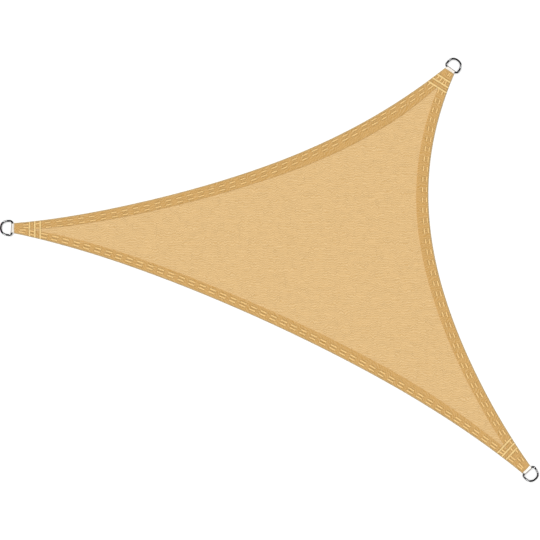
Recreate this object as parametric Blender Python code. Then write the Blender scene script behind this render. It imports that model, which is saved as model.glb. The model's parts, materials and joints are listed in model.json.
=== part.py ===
"""Three-sided shade sail, laid out flat.

One panel of knitted shade cloth has three hollow-cut sides with a folded and
twice-stitched hem.  A webbing loop is sewn into each blunt tip and holds the
straight bar of a welded D-ring.

Metres, +Z up.  The underside of the cloth lies on z = 0 and the origin is
under the middle of the whole part.  +X runs along the longest extent.
"""

from collections import namedtuple
import math

import bmesh
import bpy
from mathutils import Vector
from mathutils.geometry import delaunay_2d_cdt
import numpy as np

# --- driving dimensions -----------------------------------------------------

# Where each blunt tip of the cloth ends (its middle), the way it points and
# half the width of its end, then how its ring lies: skewed in its loop, the
# bar's centre this far out from the cloth's end, and off to the left of the
# tip's middle line.  Angles are degrees about +Z.
Corner = namedtuple("Corner", "name x y heading half ring_turn ring_out ring_off")
CORNERS = (
    Corner("left", -1.0837, 0.1766, 180.0, 0.0212, -3.5, 0.0064, 0.0),
    Corner("top", 0.7646, 0.8434, 57.5, 0.0232, -3.5, 0.0080, -0.0013),
    Corner("right", 1.0896, -0.8466, -45.0, 0.0231, -3.5, 0.0070, 0.0011),
)

# Each side runs clockwise from one tip to the next.  sag is the depth of its
# hollow at mid chord; skew, fullness and twist shape the curve.  The hem's
# width is given at nine even stations from the start of the side to its end,
# and the distances of its two stitch rows from the outer edge at five.
Side = namedtuple(
    "Side", "name start end sag skew fullness twist hem outer_row inner_row")
SIDES = (
    Side("upper", "left", "top", 0.1325, -0.217, -0.113, -0.107,
         hem=(0.0288, 0.0405, 0.0455, 0.0493, 0.0530, 0.0591, 0.0620, 0.0576, 0.0400),
         outer_row=(0.0112, 0.0197, 0.0206, 0.0129, 0.0143),
         inner_row=(0.0314, 0.0367, 0.0383, 0.0297, 0.0303)),
    Side("flank", "top", "right", 0.2252, 0.261, -0.066, 0.052,
         hem=(0.0389, 0.0465, 0.0501, 0.0515, 0.0500, 0.0488, 0.0476, 0.0450, 0.0405),
         outer_row=(0.0198, 0.0084, 0.0130, 0.0217, 0.0105),
         inner_row=(0.0376, 0.0247, 0.0294, 0.0372, 0.0244)),
    Side("lower", "right", "left", 0.1195, 0.048, -0.221, 0.030,
         hem=(0.0330, 0.0442, 0.0523, 0.0520, 0.0496, 0.0461, 0.0442, 0.0401, 0.0280),
         outer_row=(0.0124, 0.0124, 0.0181, 0.0174, 0.0098),
         inner_row=(0.0249, 0.0257, 0.0315, 0.0306, 0.0241)),
)

GAP = 0.0003             # clearance between neighbouring pieces

CLOTH_T = 0.0012         # one layer of knitted cloth
HEM_T = 0.0030           # folded hem, and the stacked hems at a tip
FOLD_R = 0.0010          # rounding of the folded outer edge, seen from above
FOLD_Z = 0.0014          # height at which the folded edge reaches furthest
BASE_INSET = 0.0006      # undercut of the folded edge where it meets z = 0
HEM_STEP = 0.0012        # width of the slope from the hem down to the cloth
ROW_DEPTH = 0.0005       # how deep a stitch row pulls into the hem
ROW_HALF = 0.0026        # half the width of that trough
ROW_FADE = 0.0300        # over this distance from a tip's end it fades away

WIRE_R = 0.0035          # D-ring wire
BAR_HALF = 0.0195        # half the straight length of the ring's bar
RING_HALF = 0.0302       # half the ring's width, to the wire's centre
RING_WAIST = 0.0100      # distance from the bar to the widest place
RING_DEPTH = 0.0480      # distance from the bar to the far end of the bow

TAPE_T = 0.0010          # webbing
TAPE_HALF = 0.0190       # half the width of the webbing

# --- fineness of the faceting -----------------------------------------------

STATION = 0.028          # spacing of points along the sides
FIELD_GRID = 0.085       # spacing of points over the open cloth
DENSE = 1200             # samples of a side used to measure distances
TIP_REACH = 0.2          # beyond this distance from a tip its end plays no part
LOOP_STEPS = 24          # facets round a webbing loop
MERGE = 0.00002          # points closer than this are one point

# --- colours ----------------------------------------------------------------

SAND = (0.77, 0.51, 0.23)
CREAM = (0.87, 0.78, 0.61)
STEEL = (0.55, 0.55, 0.56)


# --- scene and materials ----------------------------------------------------

def clear_scene():
    """Remove every object, so the script can be run again."""
    for obj in list(bpy.data.objects):
        bpy.data.objects.remove(obj, do_unlink=True)


def make_material(name, colour, roughness, metallic):
    """One Principled material."""
    material = bpy.data.materials.new(name)
    material.use_nodes = True
    shader = material.node_tree.nodes["Principled BSDF"]
    shader.inputs["Base Color"].default_value = (*colour, 1.0)
    shader.inputs["Roughness"].default_value = roughness
    shader.inputs["Metallic"].default_value = metallic
    return material


def add_mesh_object(name, bm, material):
    """Close a bmesh into a named object with one material."""
    bmesh.ops.recalc_face_normals(bm, faces=bm.faces)
    mesh = bpy.data.meshes.new(name)
    bm.to_mesh(mesh)
    bm.free()
    mesh.materials.append(material)
    obj = bpy.data.objects.new(name, mesh)
    bpy.context.scene.collection.objects.link(obj)
    return obj


# --- the plan of the sail ---------------------------------------------------

def direction(degrees):
    """Unit vector in the plan."""
    angle = math.radians(degrees)
    return np.array([math.cos(angle), math.sin(angle)])


def left_of(vector):
    """The vector turned a quarter turn to the left."""
    return np.array([-vector[1], vector[0]])


def tip_ends(corner):
    """Left and right ends of a blunt tip, looking outwards."""
    middle = np.array([corner.x, corner.y])
    across = left_of(direction(corner.heading)) * corner.half
    return middle + across, middle - across


def along(values, t):
    """Smooth curve through values that stand at even stations along a side."""
    knots = np.array([values[0], *values, values[-1]])
    place = np.clip(t, 0.0, 1.0) * (len(values) - 1)
    i = np.minimum(place.astype(int), len(values) - 2)
    u = place - i
    before, here, there, after = knots[i], knots[i + 1], knots[i + 2], knots[i + 3]
    return here + 0.5 * u * (
        (there - before)
        + u * (2 * before - 5 * here + 4 * there - after)
        + u * u * (3 * (here - there) + after - before))


def side_curve(side, count):
    """Points of a side's outer edge, its inward normals, and the parameter."""
    by_name = {corner.name: corner for corner in CORNERS}
    start = tip_ends(by_name[side.start])[1]
    end = tip_ends(by_name[side.end])[0]
    chord = end - start
    inward = -left_of(chord / np.linalg.norm(chord))
    t = np.linspace(0.0, 1.0, count + 1)
    hump = 4 * t * (1 - t)
    lean = 1 - 2 * t
    shape = 1 + side.skew * lean + (side.fullness + side.twist * lean) * (hump - 1)
    points = start + np.outer(t, chord) + np.outer(side.sag * hump * shape, inward)
    tangent = np.gradient(points, axis=0)
    tangent /= np.linalg.norm(tangent, axis=1)[:, None]
    normal = np.stack([tangent[:, 1], -tangent[:, 0]], axis=1)
    return points, normal, t


def side_length(points):
    """Length of a polyline."""
    return float(np.linalg.norm(np.diff(points, axis=0), axis=1).sum())


def outline():
    """Closed outer edge of the cloth, clockwise, with its blunt tips."""
    parts = []
    for side in SIDES:
        dense = side_curve(side, DENSE)[0]
        count = round(side_length(dense) / STATION)
        parts.append(side_curve(side, count)[0])
    return np.concatenate(parts)


def inset(loop, distance):
    """A closed clockwise loop, moved inwards with mitred corners."""
    ahead = np.roll(loop, -1, axis=0) - loop
    ahead /= np.linalg.norm(ahead, axis=1)[:, None]
    normal = np.stack([ahead[:, 1], -ahead[:, 0]], axis=1)
    before = np.roll(normal, 1, axis=0)
    mitre = normal + before
    mitre *= 2 / (mitre ** 2).sum(axis=1)[:, None]
    return loop + distance * mitre


def hem_lines():
    """Lines that follow a side: both troughs and the inner edge of the hem."""
    lines = []
    for side in SIDES:
        count = round(side_length(side_curve(side, DENSE)[0]) / STATION)
        points, normal, t = side_curve(side, count)
        places = [along(side.hem, t), along(side.hem, t) + HEM_STEP]
        for row in (side.outer_row, side.inner_row):
            for shift in (-ROW_HALF, 0.0, ROW_HALF):
                places.append(along(row, t) + shift)
        for place in places:
            lines.append(points + normal * place[:, None])
    return lines


def distances(points):
    """Distance to each side, and the side's parameter at the nearest place."""
    result = []
    for side in SIDES:
        edge, _, t = side_curve(side, DENSE)
        gap = np.linalg.norm(points[:, None] - edge[None], axis=2)
        nearest = gap.argmin(axis=1)
        result.append((gap.min(axis=1), t[nearest]))
    return result


def tip_distances(points):
    """Distance inwards from the line of the nearest blunt tip."""
    depth = np.full(len(points), 1.0)
    for corner in CORNERS:
        from_tip = points - np.array([corner.x, corner.y])
        inwards = -from_tip @ direction(corner.heading)
        near = np.linalg.norm(from_tip, axis=1) < TIP_REACH
        depth = np.where(near, np.minimum(depth, inwards), depth)
    return depth


def inside(loop, points):
    """Which points lie inside a closed loop."""
    ahead = np.roll(loop, -1, axis=0)
    x, y = points[:, 0, None], points[:, 1, None]
    spans = (loop[:, 1] > y) != (ahead[:, 1] > y)
    rise = ahead[:, 1] - loop[:, 1]
    rise = np.where(rise == 0, 1e-12, rise)
    cross = loop[:, 0] + (y - loop[:, 1]) * (ahead[:, 0] - loop[:, 0]) / rise
    return (spans & (x < cross)).sum(axis=1) % 2 == 1


# --- cloth ------------------------------------------------------------------

def cloth_height(points):
    """Height of the cloth's upper face over points of the plan."""
    hem = np.zeros(len(points))
    trough = np.zeros(len(points))
    edge = tip_distances(points)
    fade = np.clip(edge / ROW_FADE, 0.0, 1.0)
    for side, (gap, t) in zip(SIDES, distances(points)):
        edge = np.minimum(edge, gap)
        slope = 1 - (gap - along(side.hem, t)) / HEM_STEP
        hem = np.maximum(hem, np.clip(slope, 0.0, 1.0))
        for row in (side.outer_row, side.inner_row):
            off_row = np.abs(gap - along(row, t)) / ROW_HALF
            trough = np.maximum(trough, np.clip(1 - off_row, 0.0, 1.0))
    height = CLOTH_T + (HEM_T - CLOTH_T) * hem - ROW_DEPTH * trough * fade
    bend = 1 - np.clip(edge / FOLD_R, 0.0, 1.0)
    return FOLD_Z + (height - FOLD_Z) * np.sqrt(1 - bend ** 2)


def field_points(loop):
    """A triangular lattice of points over the open cloth."""
    low, high = loop.min(axis=0), loop.max(axis=0)
    points = []
    for j, y in enumerate(np.arange(low[1], high[1], FIELD_GRID * math.sqrt(0.75))):
        shift = FIELD_GRID / 2 * (j % 2)
        for x in np.arange(low[0] + shift, high[0], FIELD_GRID):
            points.append((x, y))
    points = np.array(points)
    keep = inside(loop, points)
    for side, (gap, t) in zip(SIDES, distances(points)):
        keep &= gap > along(side.hem, t) + FIELD_GRID / 4
    return points[keep]


def add_line(points, edges, line, closed):
    """Append a polyline to the points and edges of the triangulation."""
    first = len(points)
    points.extend(Vector(p) for p in line)
    for i in range(len(line) - 1):
        edges.append((first + i, first + i + 1))
    if closed:
        edges.append((first + len(line) - 1, first))


def make_cloth(material):
    """The panel and its hem as one solid: shaped on top, flat underneath."""
    rim = outline()
    points, edges = [], []
    add_line(points, edges, rim, closed=True)
    for share in (0.3, 1.0):
        add_line(points, edges, inset(rim, FOLD_R * share), closed=True)
    deep = inset(rim, FOLD_R * 2)
    for line in hem_lines():
        keep = inside(deep, line)
        add_line(points, edges, line[keep], closed=False)
    points.extend(Vector(p) for p in field_points(rim))

    verts, _, faces, *_ = delaunay_2d_cdt(points, edges, [], 0, MERGE)
    plan = np.array([tuple(v) for v in verts])
    middles = np.array([plan[list(face)].mean(axis=0) for face in faces])
    faces = [face for face, keep in zip(faces, inside(rim, middles)) if keep]
    height = cloth_height(plan)

    bm = bmesh.new()
    used = sorted({i for face in faces for i in face})
    top = {i: bm.verts.new((*plan[i], height[i])) for i in used}
    for face in faces:
        bm.faces.new([top[i] for i in face])
    base = [bm.verts.new((*p, 0.0)) for p in inset(rim, BASE_INSET)]
    rim_verts = [nearest_vertex(top, plan, p) for p in rim]
    for i in range(len(rim)):
        j = (i + 1) % len(rim)
        bm.faces.new((rim_verts[i], rim_verts[j], base[j], base[i]))
    bm.faces.new(base)
    bmesh.ops.triangulate(bm, faces=bm.faces)
    return add_mesh_object("sail_cloth", bm, material)


def nearest_vertex(top, plan, point):
    """The upper vertex that stands at a point of the plan."""
    order = list(top)
    gap = np.linalg.norm(plan[order] - point, axis=1)
    return top[order[int(gap.argmin())]]


# --- rings and webbing ------------------------------------------------------

def ring_tilt():
    """The bow's far end rests on z = 0 while the webbing lifts the bar."""
    return math.asin((TAPE_T + GAP) / RING_DEPTH)


def bar_height():
    """Height of the centre of the ring's bar."""
    return TAPE_T + GAP + WIRE_R


def add_frame(corner):
    """An empty on the middle of the bar: +Y outwards, +X along the bar."""
    frame = bpy.data.objects.new("at_" + corner.name, None)
    outward = direction(corner.heading)
    shift = outward * corner.ring_out + left_of(outward) * corner.ring_off
    frame.location = (corner.x + shift[0], corner.y + shift[1], bar_height())
    turn = corner.heading + corner.ring_turn - 90.0
    frame.rotation_euler = (0.0, 0.0, math.radians(turn))
    bpy.context.scene.collection.objects.link(frame)
    return frame


def make_ring_curve():
    """The D-shaped path of the wire, with its bar on the X axis."""
    curve = bpy.data.curves.new("d_ring", "CURVE")
    curve.dimensions = "3D"
    curve.resolution_u = 8
    curve.bevel_depth = WIRE_R
    curve.bevel_resolution = 4
    corner_in = 0.0073
    corner_up = 0.0043
    bow_up = 0.71 * (RING_DEPTH - RING_WAIST)
    bow_in = 0.65 * RING_HALF
    # place, the handle before it and the handle after it
    knots = (
        ((BAR_HALF, 0), (0, 0), (BAR_HALF + corner_in, 0)),
        ((RING_HALF, RING_WAIST), (RING_HALF, RING_WAIST - corner_up),
         (RING_HALF, RING_WAIST + bow_up)),
        ((0, RING_DEPTH), (bow_in, RING_DEPTH), (-bow_in, RING_DEPTH)),
        ((-RING_HALF, RING_WAIST), (-RING_HALF, RING_WAIST + bow_up),
         (-RING_HALF, RING_WAIST - corner_up)),
        ((-BAR_HALF, 0), (-BAR_HALF - corner_in, 0), (0, 0)),
    )
    spline = curve.splines.new("BEZIER")
    spline.bezier_points.add(len(knots) - 1)
    spline.use_cyclic_u = True
    for point, (place, before, after) in zip(spline.bezier_points, knots):
        point.handle_left_type = point.handle_right_type = "FREE"
        point.co = (*place, 0)
        point.handle_left = (*before, 0)
        point.handle_right = (*after, 0)
    return curve


def make_ring(corner, frame, curve):
    """One D-ring, sloping from its loop down to the surface."""
    ring = bpy.data.objects.new("d_ring_" + corner.name, curve)
    ring.parent = frame
    ring.rotation_euler = (-ring_tilt(), 0.0, 0.0)
    bpy.context.scene.collection.objects.link(ring)
    return ring


def loop_profile(foot):
    """Outer and inner outline of the webbing, seen along the bar.

    Pairs of (distance outwards, height) from the bar's centre.  The webbing
    runs out from the cloth as two layers, to where they part round the bar.
    """
    outer_r = WIRE_R + GAP + TAPE_T
    inner_r = WIRE_R + GAP
    meet = math.pi + math.asin((outer_r - 2 * TAPE_T) / outer_r)
    outer, inner = [], []
    for angle in np.linspace(-math.pi / 2, meet, LOOP_STEPS + 1):
        outer.append((outer_r * math.cos(angle), outer_r * math.sin(angle)))
        inner.append((inner_r * math.cos(angle), inner_r * math.sin(angle)))
    spare = 3 * math.pi / 2 - meet
    for share, height in ((1 / 3, 2 * TAPE_T - outer_r), (2 / 3, -outer_r)):
        angle = meet + spare * share
        outer.append((foot, height))
        inner.append((inner_r * math.cos(angle), inner_r * math.sin(angle)))
    return outer, inner


def make_webbing(corner, frame, material):
    """A loop of webbing, skewed with its ring but cut along the cloth's end."""
    skew = math.radians(corner.ring_turn)
    bm = bmesh.new()
    ends = []
    for across in (-TAPE_HALF, TAPE_HALF):
        cut = (GAP - corner.ring_out - across * math.sin(skew)) / math.cos(skew)
        outer, inner = loop_profile(cut)
        ends.append(([bm.verts.new((across, *p)) for p in outer],
                     [bm.verts.new((across, *p)) for p in inner]))
    count = len(ends[0][0])
    (outer_a, inner_a), (outer_b, inner_b) = ends
    for i in range(count):
        j = (i + 1) % count
        bm.faces.new((outer_a[i], outer_a[j], outer_b[j], outer_b[i]))
        bm.faces.new((inner_a[j], inner_a[i], inner_b[i], inner_b[j]))
        bm.faces.new((outer_a[j], outer_a[i], inner_a[i], inner_a[j]))
        bm.faces.new((outer_b[i], outer_b[j], inner_b[j], inner_b[i]))
    webbing = add_mesh_object("webbing_" + corner.name, bm, material)
    webbing.parent = frame
    return webbing


# --- the whole sail ---------------------------------------------------------

def main():
    clear_scene()
    make_cloth(make_material("shade_cloth", SAND, 0.85, 0.0))
    webbing_material = make_material("webbing", CREAM, 0.75, 0.0)
    curve = make_ring_curve()
    curve.materials.append(make_material("ring_steel", STEEL, 0.18, 1.0))
    for corner in CORNERS:
        frame = add_frame(corner)
        make_ring(corner, frame, curve)
        make_webbing(corner, frame, webbing_material)


main()
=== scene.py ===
"""Looks of a three-sided shade sail that lies flat.

The knitted cloth with its folded hem, the sewing, the webbing loops and the
welded D-rings are made here as fine meshes with procedural materials, each in
the place of the plain solid it stands for.

Metres, +Z up.  The sail lies on z = 0 and its underside faces down.
"""

from collections import namedtuple
import json
import math

import bmesh
import bpy
from bpy.props import FloatProperty, FloatVectorProperty, IntProperty, PointerProperty
from mathutils import Matrix, Vector
from mathutils.geometry import delaunay_2d_cdt
from mathutils.kdtree import KDTree
import numpy as np

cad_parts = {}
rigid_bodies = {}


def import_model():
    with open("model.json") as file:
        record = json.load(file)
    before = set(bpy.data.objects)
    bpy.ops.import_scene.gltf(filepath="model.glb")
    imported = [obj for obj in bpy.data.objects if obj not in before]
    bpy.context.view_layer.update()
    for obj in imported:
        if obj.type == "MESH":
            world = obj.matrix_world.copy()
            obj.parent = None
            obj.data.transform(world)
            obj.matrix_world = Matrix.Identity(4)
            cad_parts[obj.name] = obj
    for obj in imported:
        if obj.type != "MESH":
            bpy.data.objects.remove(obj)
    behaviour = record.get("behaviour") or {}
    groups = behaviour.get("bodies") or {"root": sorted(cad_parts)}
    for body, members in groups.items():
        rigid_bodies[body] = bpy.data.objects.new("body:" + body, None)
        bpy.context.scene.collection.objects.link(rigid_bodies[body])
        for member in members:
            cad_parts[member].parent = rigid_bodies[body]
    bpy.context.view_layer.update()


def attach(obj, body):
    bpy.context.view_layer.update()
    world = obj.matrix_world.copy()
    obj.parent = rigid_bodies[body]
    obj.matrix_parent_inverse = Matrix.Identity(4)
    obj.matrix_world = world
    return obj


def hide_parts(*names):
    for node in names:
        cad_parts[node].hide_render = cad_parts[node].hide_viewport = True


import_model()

bl_info = {
    "name": "Shade Sail",
    "version": (1, 0, 0),
    "blender": (4, 5, 0),
    "location": "3D View > Sidebar > Shade Sail",
    "description": "Dresses a flat shade sail: cloth, sewing, webbing and rings",
    "category": "Object",
}

# --- the plan of the sail, as the solids have it ------------------------------

# Each blunt tip: the middle of its end, the way it points in degrees about +Z,
# half its width, how its ring is turned, how far out its bar lies and how left.
# lines are the distances inwards of the sewn lines across it, lean their slant
# in degrees, and tail the length of the webbing sewn in under them.
Corner = namedtuple(
    "Corner", "name x y heading half ring_turn ring_out ring_off lines lean tail")
CORNERS = (
    Corner("left", -1.0837, 0.1766, 180.0, 0.0212, -3.5, 0.0064, 0.0,
           lines=(0.0674, 0.0899, 0.1132), lean=0.0, tail=0.126),
    Corner("top", 0.7646, 0.8434, 57.5, 0.0232, -3.5, 0.0080, -0.0013,
           lines=(0.0411, 0.0644, 0.0865), lean=0.0, tail=0.099),
    Corner("right", 1.0896, -0.8466, -45.0, 0.0231, -3.5, 0.0070, 0.0011,
           lines=(0.0916, 0.1136, 0.1374), lean=2.0, tail=0.150),
)

# Each side, clockwise from one tip to the next: the shape of its hollow, then
# the hem's width at nine even stations and both stitch rows at five.
Side = namedtuple(
    "Side", "name start end sag skew fullness twist hem outer_row inner_row")
SIDES = (
    Side("upper", "left", "top", 0.1325, -0.217, -0.113, -0.107,
         hem=(0.0288, 0.0405, 0.0455, 0.0493, 0.0530, 0.0591, 0.0620, 0.0576, 0.0400),
         outer_row=(0.0112, 0.0197, 0.0206, 0.0129, 0.0143),
         inner_row=(0.0314, 0.0367, 0.0383, 0.0297, 0.0303)),
    Side("flank", "top", "right", 0.2252, 0.261, -0.066, 0.052,
         hem=(0.0389, 0.0465, 0.0501, 0.0515, 0.0500, 0.0488, 0.0476, 0.0450, 0.0405),
         outer_row=(0.0198, 0.0084, 0.0130, 0.0217, 0.0105),
         inner_row=(0.0376, 0.0247, 0.0294, 0.0372, 0.0244)),
    Side("lower", "right", "left", 0.1195, 0.048, -0.221, 0.030,
         hem=(0.0330, 0.0442, 0.0523, 0.0520, 0.0496, 0.0461, 0.0442, 0.0401, 0.0280),
         outer_row=(0.0124, 0.0124, 0.0181, 0.0174, 0.0098),
         inner_row=(0.0249, 0.0257, 0.0315, 0.0306, 0.0241)),
)

# The dashes of both rows of a side: middle of the first, spacing and length at
# the start and at the end of the side, how far the inner row falls back, and
# how wide the dashes are beside the usual width.
Sewing = namedtuple(
    "Sewing", "side first pitch_start pitch_end dash_start dash_end lag width")
SEWING = (
    Sewing("upper", 0.0036, 0.0470, 0.0468, 0.0215, 0.0260, 0.0072, 1.0),
    Sewing("flank", 0.0110, 0.0404, 0.0460, 0.0185, 0.0215, 0.0067, 1.1),
    Sewing("lower", 0.0263, 0.0470, 0.0468, 0.0265, 0.0260, 0.0010, 1.2),
)
PITCH_EASE = 0.6         # share of a side over which the spacing changes
DASH_JITTER = 0.0011     # how far a dash is out of its even place
ROW_CLEAR = 0.0048       # of the inner rows from the middle line of a tip
ROW_APART = 0.0078       # least distance between the two rows of a hem
TIP_CLEAR = 0.0060       # of the last dash from the end of a tip
LINE_CLEAR = 0.0042      # of a dash's end from a sewn line across the tip
LAG_FROM = 0.35          # where along a side the inner row starts to fall back
LAG_OVER = 0.3           # and the share of the side over which it does
LEAST_DASH = 0.45        # of its length that a dash cut off at a tip still has

# --- the cloth's section ------------------------------------------------------

PANEL_T = 0.0012         # one layer of knitted cloth
HEM_T = 0.0030           # the folded hem
STACK = 0.0007           # more where one hem lies over the other at a tip
FOLD = 0.0015            # radius of the folded edge
FOLD_MID = 0.0014        # height of the middle of the fold
LIP = 0.0012             # rounding of the hem's turned-in inner edge
SOFT_LIP = 0.0060        # the same edge where it shows through the other hem
TAIL_RISE = 0.0008       # lift over the webbing sewn in at a tip
TAIL_SOFT = 0.0030       # slope beside it
PRESS = 0.0008           # depth to which the sewing pulls the upper face
PRESS_UNDER = 0.0007     # and the lower face
SINGLE_PULL = 0.4        # share of that depth where the cloth is single
PRESS_HALF = 0.0085      # half the width of that trough
PRESS_GAP = 0.05         # share of the depth that is left between two dashes
PRESS_EASE = 0.0060      # length over which the trough runs out

# Low waves in which the sail lies: length, direction, phase and height.
Wave = namedtuple("Wave", "length degrees phase height")
WAVES = (
    Wave(0.47, 22.0, 0.6, 0.00045),
    Wave(0.31, -48.0, 2.1, 0.00030),
    Wave(0.22, 81.0, 4.0, 0.00022),
    Wave(0.155, -12.0, 1.3, 0.00012),
)
TIP_REACH = 0.24         # round a tip the waves die out and its own sewing counts

# --- fineness -----------------------------------------------------------------

DENSE = 1200             # samples of a side from which distances are measured
LINE_STEP = 0.0050       # points along the hem
GRID = 0.0150            # points over the panel
MERGE = 0.00001          # points closer than this are one point
CHUNK = 4000             # points that are tested against a loop at a time
FOLD_PARTS = (0.15, 0.5, 1.0)    # lines in the fold, in its radius
LINES_FROM = 1.3                 # where other lines start, in the same
HEM_LINES_FROM = 1.4
PRESS_PARTS = (-1.0, -0.6, 0.0, 0.6, 1.0)  # lines in a trough, in half its width
LIP_PARTS = (-1.3, -0.6, -0.15, 0.0, 0.4, 1.0, 2.0, 6.0)  # at the hem's edge, in lips
CROSS_REACH = 0.09       # half the length of the lines across a tip
CROSS_POINTS = 41

# --- webbing and rings --------------------------------------------------------

WIRE_R = 0.0035
BAR_HALF = 0.0195
RING_HALF = 0.0302
RING_WAIST = 0.0100
RING_DEPTH = 0.0480
TAPE_T = 0.0010
TAPE_HALF = 0.0190
TAPE_GAP = 0.0003        # between the webbing and the bar, and the floor


# --- properties ---------------------------------------------------------------

def number(label, description, default, **settings):
    return FloatProperty(name=label, description=description, default=default, **settings)


def length(label, description, default):
    return number(label, description, default, min=0.0, unit="LENGTH", precision=5)


def share(label, description, default):
    return number(label, description, default, min=0.0, max=1.0, subtype="FACTOR")


def colour(label, description, default):
    return FloatVectorProperty(
        name=label, description=description, default=default, size=3, min=0.0, max=1.0,
        subtype="COLOR")


class ClothSettings(bpy.types.PropertyGroup):
    panel: colour("Panel", "Single layer of knitted cloth", (0.748, 0.496, 0.225))
    hem: colour("Hem", "Cloth doubled in the hem", (0.642, 0.383, 0.134))
    # Painted shade along the rounded outer fold, partly wear: the fold is painted darker than
    # the hem.
    edge: colour("Fold", "Worn outer fold of the hem", (0.44, 0.345, 0.185))
    wale: length("Wale", "Distance between the chains of the knit", 0.0032)
    course: length("Course", "Length of one loop of a chain", 0.0026)
    ripple: length("Ripple", "Distance between the fine ripples of the cloth", 0.0100)
    run: length("Run", "Length over which a ripple changes its way", 0.015)
    # Painted light and shade: ripple crests are painted paler and their hollows darker.
    ripples: colour("Ripples", "How much paler a ripple is than the cloth",
                    (0.070, 0.068, 0.052))
    streaks: share("Streaks", "How strongly broad pale and dark streaks show", 0.08)
    roughness: share("Roughness", "Roughness of the cloth", 0.72)


class ThreadSettings(bpy.types.PropertyGroup):
    thread: colour("Thread", "Colour of the thread in the dashes", (1.0, 0.69, 0.295))
    line_thread: colour("Line Thread", "Colour of the thread across the tips",
                        (1.0, 0.75, 0.35))
    thickness: length("Thickness", "Thickness of the thread", 0.0014)
    spacing: length("Spacing", "Distance from one pass of the thread to the next", 0.0011)
    dash_width: length("Dash Width", "Width of the stitching in the dashes", 0.0062)
    line_width: length("Line Width", "Width of the stitching across the tips", 0.0080)
    seed: IntProperty(
        name="Seed", description="Start of the random unevenness", default=7, min=0)


class WebbingSettings(bpy.types.PropertyGroup):
    tape: colour("Webbing", "Colour of the webbing", (1.0, 0.955, 0.88))
    # Grey on the webbing's fold round the bar: partly grime from the bar, partly painted shade
    # where the webbing turns down.
    rubbed: colour("Rubbed", "Where the fold is rubbed grey", (0.30, 0.27, 0.26))
    rib: length("Rib", "Distance between the ribs of the weave", 0.0014)
    roughness: share("Roughness", "Roughness of the webbing", 0.78)


class RingSettings(bpy.types.PropertyGroup):
    steel: colour("Steel", "Colour of the polished steel", (0.52, 0.52, 0.53))
    roughness: share("Roughness", "Roughness of the polished steel", 0.11)


class StageSettings(bpy.types.PropertyGroup):
    floor: colour("Floor", "Colour of the floor", (0.97, 0.97, 0.97))
    glow: share("Glow", "How much the floor shines, which fills the shadows", 0.10)
    view_x: number("View X", "Place of the camera along X", 0.0030, unit="LENGTH", precision=4)
    view_y: number("View Y", "Place of the camera along Y", -0.0010, unit="LENGTH", precision=4)
    view_width: length("View Width", "Width that the picture takes in", 2.2896)
    lens: number("Lens", "Focal length in millimetres", 85.0, min=10.0)
    sky: number("Sky", "Strength of the even light", 0.725, min=0.0)
    lamp: number("Lamp", "Strength of the soft lamp", 1.40, min=0.0)


class SailSettings(bpy.types.PropertyGroup):
    cloth: PointerProperty(type=ClothSettings)
    thread: PointerProperty(type=ThreadSettings)
    webbing: PointerProperty(type=WebbingSettings)
    ring: PointerProperty(type=RingSettings)
    stage: PointerProperty(type=StageSettings)


# --- plan geometry ------------------------------------------------------------

def direction(degrees):
    """Unit vector in the plan."""
    angle = math.radians(degrees)
    return np.array([math.cos(angle), math.sin(angle)])


def left_of(vector):
    """The vector turned a quarter turn to the left."""
    return np.array([-vector[1], vector[0]])


def right_of(vectors):
    """Each vector turned a quarter turn to the right."""
    return np.stack([vectors[:, 1], -vectors[:, 0]], axis=1)


def unit(vectors):
    return vectors / np.linalg.norm(vectors, axis=1)[:, None]


def arc_lengths(points):
    """How far along a line each of its points is."""
    steps = np.linalg.norm(np.diff(points, axis=0), axis=1)
    return np.concatenate([[0.0], np.cumsum(steps)])


def corner_named(name):
    return next(corner for corner in CORNERS if corner.name == name)


def tip_ends(corner):
    """Left and right ends of a blunt tip, looking outwards."""
    middle = np.array([corner.x, corner.y])
    across = left_of(direction(corner.heading)) * corner.half
    return middle + across, middle - across


def along(values, t):
    """Smooth curve through values that stand at even stations along a side."""
    knots = np.array([values[0], *values, values[-1]])
    place = np.clip(t, 0.0, 1.0) * (len(values) - 1)
    i = np.minimum(place.astype(int), len(values) - 2)
    u = place - i
    before, here, there, after = knots[i], knots[i + 1], knots[i + 2], knots[i + 3]
    return here + 0.5 * u * (
        (there - before)
        + u * (2 * before - 5 * here + 4 * there - after)
        + u * u * (3 * (here - there) + after - before))


def side_curve(side, count):
    """Points of a side's outer edge, its inward normals, and the parameter."""
    start = tip_ends(corner_named(side.start))[1]
    end = tip_ends(corner_named(side.end))[0]
    chord = end - start
    inward = -left_of(chord / np.linalg.norm(chord))
    t = np.linspace(0.0, 1.0, count + 1)
    hump = 4 * t * (1 - t)
    lean = 1 - 2 * t
    shape = 1 + side.skew * lean + (side.fullness + side.twist * lean) * (hump - 1)
    points = start + np.outer(t, chord) + np.outer(side.sag * hump * shape, inward)
    return points, right_of(unit(np.gradient(points, axis=0))), t


def ease(x):
    """Smooth step from 0 to 1."""
    x = np.clip(x, 0.0, 1.0)
    return x * x * (3 - 2 * x)


def round_off(x):
    """Quarter circle from 0 to 1."""
    return np.sqrt(1 - (1 - np.clip(x, 0.0, 1.0)) ** 2)


def trough(x):
    """1 on a line, 0 at a distance of 1 from it."""
    return (1 - np.clip(np.abs(x), 0.0, 1.0) ** 2) ** 2


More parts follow.
